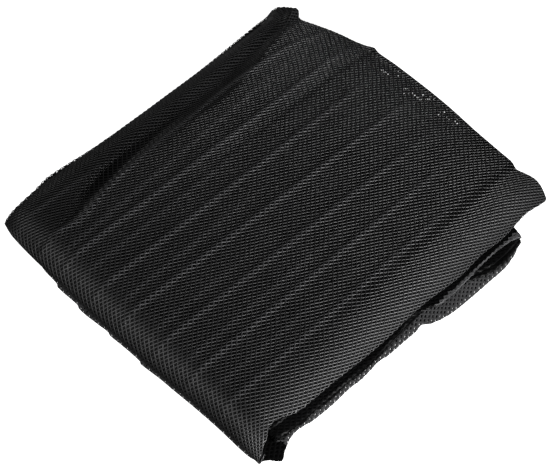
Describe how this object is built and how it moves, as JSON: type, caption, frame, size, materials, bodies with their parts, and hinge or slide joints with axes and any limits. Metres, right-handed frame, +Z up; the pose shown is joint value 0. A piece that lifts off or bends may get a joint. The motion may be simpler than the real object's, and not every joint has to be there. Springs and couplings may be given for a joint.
{
  "type": "folded door mosquito net",
  "caption": "Length of fine black insect mesh for a doorway, folded back and forth into a flat, soft, nearly square packet with a rolled front fold and loose back edges.",
  "frame": {"origin": "middle of the packet's underside, on the surface it lies on", "axes": "+Z up through the pile of layers, +X along the closed front fold towards the drooping side, +Y from the front fold to the loose back edge"},
  "size_m": [0.2028, 0.215, 0.021],
  "materials": {
    "black_net": "fine knitted polyester mesh, dull black with a slight thread sheen"
  },
  "bodies": {
    "root": {"folded_net": "black_net"}
  },
  "joints": []
}
